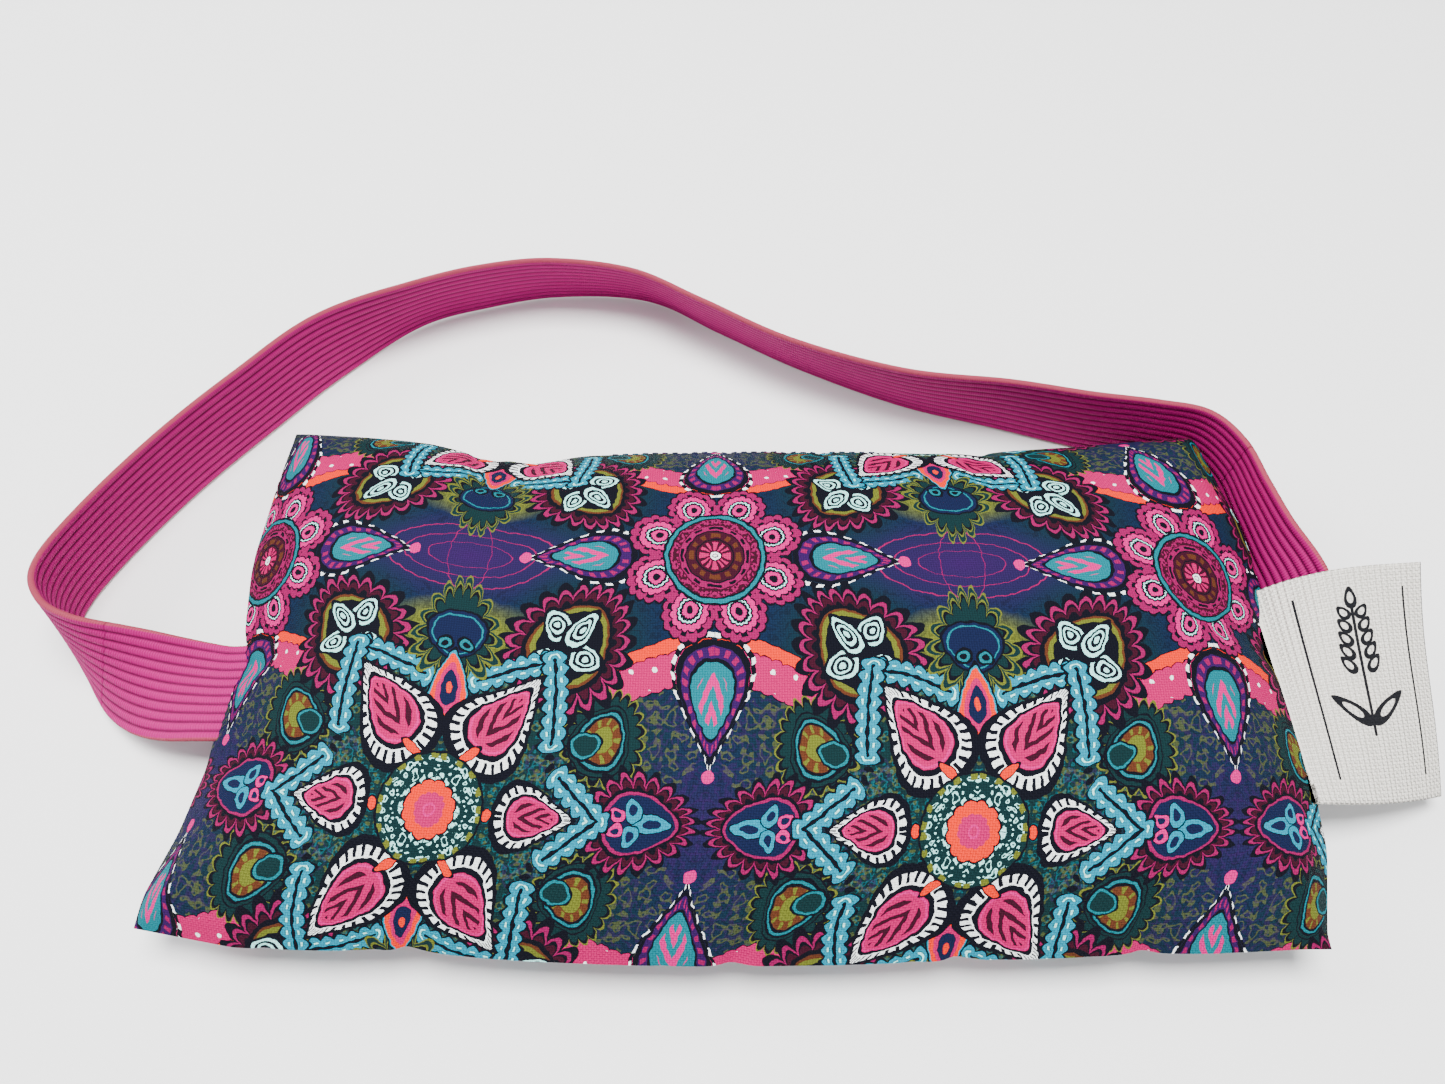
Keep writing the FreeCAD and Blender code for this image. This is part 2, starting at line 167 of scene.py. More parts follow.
def addFinish(tree, surface, colour, roughness, specular=None):
    tree.links.new(colour, surface.inputs["Base Color"])
    surface.inputs["Roughness"].default_value = roughness
    if specular is not None:
        surface.inputs["Specular IOR Level"].default_value = specular


def addRelief(tree, surface, height, strength, distance):
    inputs = {"Height": height, "Strength": strength, "Distance": distance}
    bump = addNode(tree, "ShaderNodeBump", inputs)
    tree.links.new(bump.outputs[0], surface.inputs["Normal"])


# Print on the cotton.
# darker than they look: the light is strong and the tone curve lifts them
# darker than they look: the light is strong and the tone curve lifts them
inks = {
    "navy": (8, 17, 46),
    "deep": (4, 27, 48),
    "forest": (5, 31, 33),
    "purple": (38, 7, 62),
    "cyan": (0, 112, 134),
    "teal": (0, 92, 102),
    "mint": (150, 216, 210),
    "white": (222, 226, 226),
    "magenta": (156, 0, 76),
    "pink": (176, 0, 100),
    "rose": (118, 6, 66),
    "orange": (200, 30, 0),
    "olive": (82, 88, 26),
    "brown": (72, 36, 18),
    "wine": (44, 4, 22),
    "line": (3, 4, 14),
}
clear = "clear"


# Folds the cloth into a quarter of the repeat: 0 at a teal flower, 50 at a pink one.
def makeFold():
    tree, given, wanted = makeGroup("foldedRepeat", [("Cloth", "Vector")], [("Place", "Vector")])
    turned = addNode(
        tree, "ShaderNodeMapping",
        {"Vector": given["Cloth"], "Location": (-0.545, -0.308, 0.0), "Rotation": (0, 0, -0.03),
         "Scale": (0.0091, 0.0097, 1.0)},
        vector_type="TEXTURE",
    ).outputs[0]
    shake = noiseNode(tree, turned, 0.55, 1.0)
    shift = vectorCalc(tree, "SUBTRACT", shake.outputs["Color"], (0.5, 0.5, 0.5)).outputs[0]
    scaled = addNode(
        tree, "ShaderNodeVectorMath", {0: shift, "Scale": 0.9}, operation="SCALE"
    ).outputs[0]
    placed = vectorCalc(tree, "ADD", turned, scaled).outputs[0]
    parts = splitVector(tree, placed)
    across = calc(tree, "PINGPONG", parts[0], 50.0)
    along = calc(tree, "PINGPONG", parts[1], 50.0)
    folded = addNode(tree, "ShaderNodeCombineXYZ", {0: across, 1: along}).outputs[0]
    tree.links.new(folded, wanted["Place"])
    return tree


# Distance inside a drop-shaped motif: 0 at its middle, 1 on its outline, tip along +X.
def makeDrop():
    tree, given, wanted = makeGroup(
        "dropMotif",
        [("Place", "Vector"), ("Taper", "Float"), ("Beads", "Float"), ("Frill", "Float"),
         ("Veins", "Float")],
        [("Field", "Float"), ("Frilled", "Float"), ("Beads", "Float"), ("Veins", "Float")],
    )
    parts = splitVector(tree, given["Place"])
    narrow = calc(tree, "MULTIPLY", parts[0], given["Taper"])
    narrow = calc(tree, "SUBTRACT", 1.0, narrow)
    narrow = calc(tree, "MAXIMUM", narrow, 0.04)
    side = calc(tree, "DIVIDE", parts[1], narrow)
    flat = addNode(tree, "ShaderNodeCombineXYZ", {0: parts[0], 1: side}).outputs[0]
    field = vectorCalc(tree, "LENGTH", flat).outputs["Value"]
    angle = calc(tree, "ARCTAN2", side, parts[0])
    wave = calc(tree, "SINE", calc(tree, "MULTIPLY", angle, given["Beads"]))
    lobes = calc(tree, "POWER", calc(tree, "ABSOLUTE", wave), 0.6)
    frill = calc(tree, "MULTIPLY", lobes, given["Frill"])
    frill = calc(tree, "SUBTRACT", 1.0, frill)
    slant = calc(tree, "ABSOLUTE", side)
    slant = calc(tree, "MULTIPLY_ADD", slant, -1.3, parts[0])
    veins = calc(tree, "SINE", calc(tree, "MULTIPLY", slant, given["Veins"]))
    for label, value in (("Field", field), ("Beads", wave), ("Veins", veins)):
        tree.links.new(value, wanted[label])
    tree.links.new(calc(tree, "MULTIPLY", field, frill), wanted["Frilled"])
    return tree


# Turns a place round a centre into the same place in the first of several equal petals.
def makePetals():
    tree, given, wanted = makeGroup(
        "petalRing", [("Place", "Vector"), ("Copies", "Float"), ("Turn", "Float")],
        [("Place", "Vector")],
    )
    parts = splitVector(tree, given["Place"])
    angle = calc(tree, "ARCTAN2", parts[1], parts[0])
    angle = calc(tree, "ADD", angle, given["Turn"])
    step = calc(tree, "DIVIDE", math.tau, given["Copies"])
    half = calc(tree, "MULTIPLY", step, 0.5)
    angle = calc(tree, "WRAP", angle, half, calc(tree, "MULTIPLY", half, -1.0))
    radius = vectorCalc(tree, "LENGTH", given["Place"]).outputs["Value"]
    across = calc(tree, "MULTIPLY", radius, calc(tree, "COSINE", angle))
    along = calc(tree, "MULTIPLY", radius, calc(tree, "SINE", angle))
    turned = addNode(tree, "ShaderNodeCombineXYZ", {0: across, 1: along}).outputs[0]
    tree.links.new(turned, wanted["Place"])
    return tree


# Distance from a short bent stroke along X, 1 on its outline, with lobes along its edge.
def makeStroke():
    tree, given, wanted = makeGroup(
        "strokeMotif",
        [("Place", "Vector"), ("Reach", "Float"), ("Width", "Float"), ("Bend", "Float"),
         ("Lobes", "Float"), ("Frill", "Float")],
        [("Field", "Float"), ("Frilled", "Float"), ("Lobes", "Float")],
    )
    parts = splitVector(tree, given["Place"])
    square = calc(tree, "MULTIPLY", parts[0], parts[0])
    side = calc(tree, "MULTIPLY_ADD", square, given["Bend"], parts[1])
    past = calc(tree, "SUBTRACT", calc(tree, "ABSOLUTE", parts[0]), given["Reach"])
    past = calc(tree, "MAXIMUM", past, 0.0)
    flat = addNode(tree, "ShaderNodeCombineXYZ", {0: past, 1: side}).outputs[0]
    far = vectorCalc(tree, "LENGTH", flat).outputs["Value"]
    field = calc(tree, "DIVIDE", far, given["Width"])
    wave = calc(tree, "SINE", calc(tree, "MULTIPLY", parts[0], given["Lobes"]))
    wave = calc(tree, "ABSOLUTE", wave)
    lobes = calc(tree, "POWER", wave, 0.6)
    frill = calc(tree, "SUBTRACT", 1.0, calc(tree, "MULTIPLY", lobes, given["Frill"]))
    tree.links.new(field, wanted["Field"])
    tree.links.new(calc(tree, "MULTIPLY", field, frill), wanted["Frilled"])
    tree.links.new(wave, wanted["Lobes"])
    return tree


foldGroup = makeFold()
dropGroup = makeDrop()
strokeGroup = makeStroke()
petalGroup = makePetals()


# Paints flat bands of ink over what is already there. bands: where each starts, and its ink.
def paint(tree, under, field, bands, mask=None):
    ramp = tree.nodes.new("ShaderNodeValToRGB")
    ramp.color_ramp.interpolation = "CONSTANT"
    tree.links.new(field, ramp.inputs[0])
    stops = ramp.color_ramp.elements
    while len(stops) < len(bands):
        stops.new(0.5)
    for stop, (start, ink) in zip(stops, bands):
        stop.position = start
    for stop, (start, ink) in zip(stops, bands):
        stop.color = (0, 0, 0, 0) if ink == clear else toLinear(*inks[ink])
    share = ramp.outputs["Alpha"]
    if mask is not None:
        share = calc(tree, "MULTIPLY", share, mask)
    return mixColour(tree, share, under, ramp.outputs["Color"])


def lineMask(tree, value, level):
    return calc(tree, "GREATER_THAN", value, level)


def localPlace(tree, place, centre, angle=0, reach=(1.0, 1.0)):
    turned = (0, 0, math.radians(angle))
    inputs = {"Vector": place, "Location": (*centre, 0), "Rotation": turned, "Scale": (*reach, 1.0)}
    return addNode(tree, "ShaderNodeMapping", inputs, vector_type="TEXTURE").outputs[0]


# A motif centred at a place, pointing at an angle, with its half length and half width.
def motif(tree, place, centre, angle, reach, taper=0.0, beads=12.0, frill=0.0, veins=9.0):
    local = localPlace(tree, place, centre, angle, reach)
    return placeGroup(
        tree, dropGroup,
        {"Place": local, "Taper": taper, "Beads": beads, "Frill": frill, "Veins": veins},
    )


def stroke(tree, place, centre, angle, reach, width, bend=0.0, lobes=1.2, frill=0.0):
    local = localPlace(tree, place, centre, angle)
    return placeGroup(
        tree, strokeGroup,
        {"Place": local, "Reach": reach, "Width": width, "Bend": bend, "Lobes": lobes, "Frill": frill},
    )


def petals(tree, place, centre, copies, turn=0.0):
    moved = vectorCalc(tree, "SUBTRACT", place, (*centre, 0)).outputs[0]
    return placeGroup(tree, petalGroup, {"Place": moved, "Copies": copies, "Turn": turn})[0]


# Fine curly lines, as between the flowers: a noise cut into narrow contour lines.
def squiggles(tree, place, scale, lines):
    noise = noiseNode(tree, place, scale, 1.5)
    saw = calc(tree, "FRACT", calc(tree, "MULTIPLY", noise.outputs["Fac"], lines))
    return calc(tree, "LESS_THAN", calc(tree, "ABSOLUTE", calc(tree, "SUBTRACT", saw, 0.5)), 0.13)


def radial(tree, place, centre, reach):
    local = localPlace(tree, place, centre, reach=reach)
    return vectorCalc(tree, "LENGTH", local).outputs["Value"]


def printGround(tree, place):
    ground = noiseNode(tree, place, 0.08, 3.0)
    colour = mixColour(tree, ground.outputs["Fac"], toLinear(*inks["navy"]), toLinear(*inks["deep"]))
    patches = [
        ((0, 50), (22, 9), "purple", 0.4),
        ((50, 2), (26, 7), "purple", 0.18),
        ((18, 14), (24, 20), "forest", 0.9),
        ((0, 31), (16, 8), "olive", 1.0),
        ((24, 34), (13, 12), "forest", 0.7),
    ]
    for centre, reach, ink, strength in patches:
        far = radial(tree, place, centre, reach)
        share = calc(tree, "MULTIPLY", calc(tree, "SUBTRACT", 1.25, far), 1.8 * strength, clamp=True)
        colour = mixColour(tree, share, colour, toLinear(*inks[ink]))
    # scribble over the ground
    for scale, lines, ink, centre, reach in (
        (0.42, 5.0, "line", (20, 18), (40, 26)),
        (0.36, 4.0, "olive", (22, 14), (26, 19)),
        (0.6, 4.0, "teal", (14, 12), (17, 15)),
        (0.5, 3.0, "purple", (50, 8), (34, 15)),
    ):
        mask = squiggles(tree, place, scale, lines)
        near = calc(tree, "LESS_THAN", radial(tree, place, centre, reach), 1.0)
        share = calc(tree, "MULTIPLY", calc(tree, "MULTIPLY", mask, near), 0.36)
        colour = mixColour(tree, share, colour, toLinear(*inks[ink]))
    return colour


def printWeb(tree, place, colour):
    for reach in ((9.0, 3.0), (14.0, 5.0), (18.0, 7.5), (4.5, 8.5)):
        ring = motif(tree, place, (0, 50), 0, reach, beads=10)
        colour = paint(tree, colour, ring["Field"], [(0, clear), (0.965, "rose"), (0.99, clear)])
    return colour


def printRibbons(tree, place, colour):
    orange = stroke(tree, place, (38.5, 30.0), 21, 9.5, 1.9, 0.008)
    colour = paint(tree, colour, orange["Field"], [(0, "orange"), (0.9, "line"), (1.0, clear)])
    hot = stroke(tree, place, (37.6, 25.6), 20, 10.0, 3.1, 0.008, lobes=1.3, frill=0.16)
    colour = paint(tree, colour, hot["Frilled"], [(0, "magenta"), (0.88, "line"), (0.94, clear)])
    dots = addNode(
        tree, "ShaderNodeTexVoronoi", {"Vector": place, "Scale": 0.42, "Randomness": 0.6},
    ).outputs["Distance"]
    mask = calc(tree, "LESS_THAN", hot["Field"], 0.8)
    return paint(tree, colour, dots, [(0, "white"), (0.22, clear)], mask)


def printPeacock(tree, place, colour):
    centre, angle = (22.6, 31.6), 52
    spikes = motif(tree, place, centre, angle, (13.8, 12.2), taper=0.25, beads=11, frill=0.22)
    colour = paint(tree, colour, spikes["Frilled"], [
        (0, "line"), (0.56, "wine"), (0.64, "line"), (0.68, "rose"), (0.745, "line"), (0.85, clear),
    ])
    body = motif(tree, place, centre, angle, (9.6, 8.2), taper=0.34, beads=7, veins=10)
    colour = paint(tree, colour, body["Field"], [
        (0, "line"), (0.74, "olive"), (0.84, "brown"), (0.9, "line"), (1.0, clear),
    ])
    for spot, turn, reach in (((19.4, 35.2), 118, (4.0, 3.1)), ((25.4, 28.4), -20, (4.0, 3.1)),
                              ((18.6, 28.6), 52, (2.9, 3.4)), ((24.4, 34.2), 50, (5.2, 2.5))):
        curl = motif(tree, place, spot, turn, reach, taper=0.4, beads=4)
        colour = paint(tree, colour, curl["Field"], [
            (0, "mint"), (0.16, "line"), (0.32, "mint"), (0.46, "line"), (0.6, "mint"), (0.78, "line"),
            (1.0, clear),
        ])
    return colour


def printPaisley(tree, place, colour):
    halo = motif(tree, place, (30.5, 14.4), 70, (8.6, 7.6), taper=0.2, beads=10, frill=0.2)
    colour = paint(tree, colour, halo["Frilled"], [
        (0, "forest"), (0.72, "line"), (0.8, "olive"), (0.84, clear),
    ])
    body = motif(tree, place, (30.0, 13.9), 65, (6.8, 5.4), taper=0.35, beads=9)
    colour = paint(tree, colour, body["Field"], [
        (0, "olive"), (0.36, "brown"), (0.62, "line"), (0.7, "teal"), (0.78, "line"), (0.86, "forest"),
        (0.95, "line"), (1.0, clear),
    ])
    dots = lineMask(tree, body["Beads"], 0.55)
    colour = paint(tree, colour, body["Field"], [(0, clear), (0.4, "olive"), (0.6, clear)], dots)
    notch = motif(tree, place, (27.0, 12.8), 20, (3.3, 2.5), taper=0.2)
    return paint(tree, colour, notch["Field"], [(0, "forest"), (0.7, "teal"), (0.86, "line"), (1.0, clear)])


def printSmallDrop(tree, place, colour):
    centre = (39.0, 0)
    spikes = motif(tree, place, centre, 0, (11.4, 9.4), taper=0.35, beads=10, frill=0.28)
    colour = paint(tree, colour, spikes["Frilled"], [
        (0, "line"), (0.48, "wine"), (0.55, "line"), (0.58, "rose"), (0.64, "line"), (0.72, clear),
    ])
    body = motif(tree, place, centre, 0, (7.6, 5.6), taper=0.4, beads=6)
    colour = paint(tree, colour, body["Field"], [(0, "navy"), (0.84, "rose"), (0.92, "line"), (1.0, clear)])
    for spot, turn, reach, ink in (((41.2, 0), 0, (3.8, 1.7), "cyan"), ((37.4, 2.3), 110, (2.3, 1.5), "cyan"),
                                   ((34.6, 1.4), 150, (1.6, 1.2), "pink")):
        leaf = motif(tree, place, spot, turn, reach, taper=0.4)
        colour = paint(tree, colour, leaf["Field"], [(0, "navy"), (0.45, ink), (0.9, "line"), (1.0, clear)])
    return colour


def bandedPetal(tree, place, colour, centre, angle, reach, ticked):
    petal = motif(tree, place, centre, angle, reach, taper=0.85, beads=ticked, veins=17)
    colour = paint(tree, colour, petal["Field"], [
        (0, "magenta"), (0.6, "line"), (0.69, "white"), (0.87, "line"), (1.0, clear),
    ])
    ticks = lineMask(tree, petal["Beads"], 0.3)
    colour = paint(tree, colour, petal["Field"], [(0, clear), (0.72, "line"), (0.87, clear)], ticks)
    veins = lineMask(tree, petal["Veins"], 0.25)
    colour = paint(tree, colour, petal["Field"], [(0, "wine"), (0.46, clear)], veins)
    return paint(tree, colour, petal["Field"], [(0, clear), (0.54, "pink"), (0.58, clear)])


def printTealFlower(tree, place, colour):
    # scalloped cyan borders first, then what lies over them
    arms = [
        ((12.3, 26.6), 15, 7.6, 0.012), ((20.6, 20.6), 94, 7.8, -0.008), ((27.0, 3.4), -40, 5.4, 0.0),
    ]
    for centre, angle, reach, bend in arms:
        arm = stroke(tree, place, centre, angle, reach, 2.3, bend, lobes=1.3, frill=0.42)
        colour = paint(tree, colour, arm["Frilled"], [
            (0, "line"), (0.1, "cyan"), (0.6, "line"), (0.76, clear),
        ])
        ovals = lineMask(tree, arm["Lobes"], 0.84)
        colour = paint(tree, colour, arm["Field"], [
            (0, clear), (0.3, "teal"), (0.4, "mint"), (0.56, "teal"), (0.66, clear),
        ], ovals)
    crown = motif(tree, place, (0, 34.0), 90, (9.6, 7.6), taper=0.3, beads=8, frill=0.3)
    colour = paint(tree, colour, crown["Frilled"], [
        (0, "forest"), (0.62, "line"), (0.68, "olive"), (0.72, "forest"), (0.8, "olive"), (0.84, clear),
    ])
    heart = motif(tree, place, (0, 32.6), 90, (5.2, 6.2), taper=-0.25, beads=3)
    colour = paint(tree, colour, heart["Field"], [
        (0, "navy"), (0.76, "teal"), (0.82, "navy"), (0.92, "line"), (1.0, clear),
    ])
    for side, turn in ((-1, 200), (1, -20)):
        curl = motif(tree, place, (side * 2.2, 30.6), turn, (1.9, 1.5), taper=0.3)
        colour = paint(tree, colour, curl["Field"], [(0, "line"), (0.4, "teal"), (0.7, "line"), (1.0, clear)])
    flame = motif(tree, place, (0, 22.0), 90, (8.0, 3.9), taper=0.6, beads=6)
    colour = paint(tree, colour, flame["Field"], [
        (0, "orange"), (0.14, "navy"), (0.42, "magenta"), (0.6, "orange"), (0.82, "cyan"), (0.9, "line"),
        (1.0, clear),
    ])
    colour = bandedPetal(tree, place, colour, (10.9, 16.9), 50, (11.4, 6.9), 30)
    colour = bandedPetal(tree, place, colour, (19.5, 0), 0, (7.9, 5.2), 23)
    for spot, turn, reach in (((5.6, 10.2), 35, (2.6, 1.0)), ((10.9, 0), 90, (1.4, 0.9))):
        bar = motif(tree, place, spot, turn, reach)
        colour = paint(tree, colour, bar["Field"], [(0, "orange"), (0.8, "line"), (1.0, clear)])
    disc = motif(tree, place, (0, 0), 0, (10.6, 10.6), beads=18)
    colour = paint(tree, colour, disc["Field"], [(0, "forest"), (0.93, "line"), (0.97, clear)])
    curls = squiggles(tree, place, 0.62, 4.0)
    colour = paint(tree, colour, disc["Field"], [(0, clear), (0.4, "mint"), (0.9, clear)], curls)
    beads = lineMask(tree, disc["Beads"], 0.3)
    colour = paint(tree, colour, disc["Field"], [
        (0, clear), (0.46, "mint"), (0.55, clear), (0.84, "olive"), (0.93, clear),
    ], beads)
    core = motif(tree, place, (0, 0), 0, (5.2, 5.6), beads=6, frill=0.12)
    return paint(tree, colour, core["Frilled"], [
        (0, "magenta"), (0.14, "pink"), (0.2, "magenta"), (0.5, "orange"), (0.84, "line"), (0.9, clear),
    ])


def printPinkFlower(tree, place, colour):
    pink = (50, 50)
    for centre, angle, reach in (((23.6, 50), 180, (11.8, 5.4)), ((50, 21.8), -90, (12.4, 6.6))):
        outer = motif(tree, place, centre, angle, reach, taper=0.85, beads=22, veins=15)
        colour = paint(tree, colour, outer["Field"], [(0, clear), (0.91, "line"), (1.0, clear)])
        beads = lineMask(tree, outer["Beads"], 0.1)
        colour = paint(tree, colour, outer["Field"], [(0, clear), (0.93, "white"), (1.0, clear)], beads)
        colour = paint(tree, colour, outer["Field"], [
            (0, "teal"), (0.56, "line"), (0.62, "purple"), (0.8, "line"), (0.9, clear),
        ])
        colour = paint(tree, colour, outer["Field"], [(0, clear), (0.66, "rose"), (0.77, clear)], beads)
        veins = lineMask(tree, outer["Veins"], 0.0)
        colour = paint(tree, colour, outer["Field"], [(0, "pink"), (0.4, clear)], veins)
    for spot in ((11.6, 50), (50, 8.4)):
        tip = radial(tree, place, spot, (4.0, 4.0))
        colour = paint(tree, colour, tip, [(0, "pink"), (0.3, clear)])
    ring = petals(tree, place, pink, 8.0, math.pi / 8.0)
    outer = motif(tree, ring, (12.6, 0), 0, (6.4, 5.4), taper=-0.1, beads=8, frill=0.12, veins=6)
    colour = paint(tree, colour, outer["Frilled"], [
        (0, "line"), (0.12, "pink"), (0.24, "line"), (0.32, "mint"), (0.36, "line"), (0.42, "pink"),
        (0.58, "line"), (0.63, "rose"), (0.84, "line"), (0.91, clear),
    ])
    dots = lineMask(tree, outer["Beads"], 0.4)
    colour = paint(tree, colour, outer["Field"], [(0, clear), (0.66, "line"), (0.78, clear)], dots)
    disc = motif(tree, place, pink, 0, (10.6, 10.6), beads=14)
    colour = paint(tree, colour, disc["Field"], [
        (0, "white"), (0.03, "line"), (0.05, "white"), (0.09, "wine"), (0.34, "line"), (0.37, "wine"),
        (0.54, "line"), (0.57, "rose"), (0.68, "wine"), (0.85, "line"), (0.88, "teal"),
        (0.95, "line"), (1.0, clear),
    ])
    spokes = lineMask(tree, disc["Beads"], 0.0)
    colour = paint(tree, colour, disc["Field"], [
        (0, clear), (0.12, "magenta"), (0.3, clear), (0.4, "brown"), (0.5, clear), (0.6, "line"),
        (0.66, clear),
    ], spokes)
    flecks = noiseNode(tree, place, 1.3, 1.0)
    rough = calc(tree, "GREATER_THAN", flecks.outputs["Fac"], 0.5)
    return paint(tree, colour, disc["Field"], [(0, clear), (0.7, "rose"), (0.84, clear)], rough)


# Plain weave as a height between 0 and 1: threads pass over and under each other.
def makeWeave():
    tree, given, wanted = makeGroup(
        "plainWeave", [("Cloth", "Vector"), ("Pitch", "Float")], [("Height", "Float")]
    )
    inputs = {0: given["Cloth"], "Scale": calc(tree, "DIVIDE", math.pi, given["Pitch"])}
    scaled = addNode(tree, "ShaderNodeVectorMath", inputs, operation="SCALE").outputs[0]
    parts = splitVector(tree, scaled)
    warp = calc(tree, "SINE", parts[0])
    weft = calc(tree, "SINE", parts[1])
    over = calc(tree, "GREATER_THAN", calc(tree, "MULTIPLY", warp, weft), 0.0)
    warp = calc(tree, "ABSOLUTE", warp)
    weft = calc(tree, "ABSOLUTE", weft)
    high = addNode(tree, "ShaderNodeMix", {0: over, 2: warp, 3: weft}, data_type="FLOAT").outputs[0]
    tree.links.new(high, wanted["Height"])
    return tree


weaveGroup = makeWeave()


def clothPlace(tree):
    return addNode(tree, "ShaderNodeUVMap", uv_map="clothMap").outputs[0]


def makePrintedCotton():
    material, tree, surface = newMaterial("printedCotton")
    cloth = clothPlace(tree)
    place = placeGroup(tree, foldGroup, {"Cloth": cloth})[0]
    colour = printGround(tree, place)
    for layer in (printWeb, printRibbons, printPaisley, printSmallDrop, printPeacock, printTealFlower,
                  printPinkFlower):
        colour = layer(tree, place, colour)
    # painted shade: darker in the low gaps between the threads, lighter on the thread tops, with random grain
    # in the tone
    weave = placeGroup(tree, weaveGroup, {"Cloth": cloth, "Pitch": 0.0046})[0]
    grain = noiseNode(tree, cloth, 260.0, 2.0)
    weaveGapShade = calc(tree, "MULTIPLY_ADD", weave, 0.45, 0.52)
    tone = calc(tree, "MULTIPLY_ADD", grain.outputs["Fac"], 0.5, weaveGapShade)
    shade = addNode(tree, "ShaderNodeCombineColor", {0: tone, 1: tone, 2: tone}).outputs[0]
    colour = mixColour(tree, 1.0, colour, shade, "MULTIPLY")
    addFinish(tree, surface, colour, 0.82, 0.1)
    addRelief(tree, surface, weave, 0.45, 0.00025)
    return material


print("print node groups ready")


# Pillow cover.
pillow = {
    "crown": 0.024,
    "seam": 0.010,
    "cut": (0.210, 0.1145),        # flat panel, seam to seam, before it was filled
    "cells": (112, 60),
    "frames": 22,
    "gathered": 0.35,
}


# Where the seam runs in plan, in millimetres, read as curves along each side.
outline = {
    "front": ([-103, -84, -40, 0, 40, 75, 97], [-49.0, -52.3, -54.6, -55.6, -55.0, -53.6, -52.6]),
    "back": (
        [-99, -85, -70, -58, -47, -36, -20, 10, 40, 75, 100],
        [56.8, 55.8, 54.2, 51.2, 48.8, 50.8, 51.4, 52.0, 51.8, 53.2, 55.8],
    ),
    "left": ([-49, -38, -25, -5, 17, 40, 57], [-103.4, -100.4, -98.6, -99.6, -101.0, -100.4, -99.3]),
    "right": ([-52, -38, -23, -5, 14, 31, 55], [96.8, 101.2, 102.8, 104.4, 105.0, 104.2, 100.0]),
}


creases = [
    ((-48, 44), 74, 11, 6, 2.2), ((-33, 38), 120, 10, 5, -0.9), ((-90, 6), 12, 16, 5, 1.3),
    ((-88, -22), -16, 15, 5, 1.0), ((92, -30), 24, 15, 5, 1.2), ((93, 12), -14, 13, 5, 1.1),
    ((30, 46), 96, 9, 5, 1.2), ((70, 45), 70, 9, 5, 1.0), ((-12, -47), 84, 9, 5, 0.9),
    ((44, -46), 100, 9, 5, 0.9), ((-80, 42), -40, 13, 4, 1.2), ((84, -45), -44, 11, 4, 0.9),
]


def panelMesh():
    across, along = pillow["cells"]
    cut = np.array(pillow["cut"])
    points, flat, sides = [], [], {}
    for face in (1, -1):
        for row in range(along + 1):
            for column in range(across + 1):
                onSeam = row in (0, along) or column in (0, across)
                if face < 0 and onSeam:
                    sides[face, column, row] = sides[1, column, row]
                    continue
                sides[face, column, row] = len(points)
                u, v = 2 * column / across - 1, 2 * row / along - 1
                points.append((u * cut[0] / 2, v * cut[1] / 2, face * 0.004 * (1 - u * u) * (1 - v * v)))
                flat.append((u * cut[0] * 5.0, v * cut[1] * 5.0))
    faces = []
    for face in (1, -1):
        for row in range(along):
            for column in range(across):
                ring = [(column, row), (column + 1, row), (column + 1, row + 1), (column, row + 1)]
                faces.append([sides[face, c, r] for c, r in ring[::face]])
    return np.array(points), np.array(flat), faces, sides


# Sews the two flat panels at the seam and blows them up as cloth, at ten times the size.
def inflatePanels(points, faces):
    scale = 10.0
    bag = makeMesh("inflatingPanels", points * scale, faces)
    cloth = bag.modifiers.new("cloth", "CLOTH")
    fabric = {
        "quality": 6, "mass": 0.05, "tension_stiffness": 30, "compression_stiffness": 30,
        "shear_stiffness": 12, "bending_stiffness": 0.25, "tension_damping": 8,
        "compression_damping": 8, "shear_damping": 8, "bending_damping": 0.8,
        "air_damping": 3, "use_pressure": True, "uniform_pressure_force": 8,
    }
    for key, value in fabric.items():
        setattr(cloth.settings, key, value)
    cloth.settings.effector_weights.gravity = 0
    cloth.point_cache.frame_start = 1
    cloth.point_cache.frame_end = pillow["frames"]
    for step in range(1, pillow["frames"] + 1):
        bpy.context.scene.frame_set(step)
    shown = bag.evaluated_get(bpy.context.evaluated_depsgraph_get())
    blown = np.zeros(len(points) * 3)
    shown.data.vertices.foreach_get("co", blown)
    bpy.data.objects.remove(bag)
    bpy.context.scene.frame_set(1)
    return blown.reshape(-1, 3) / scale


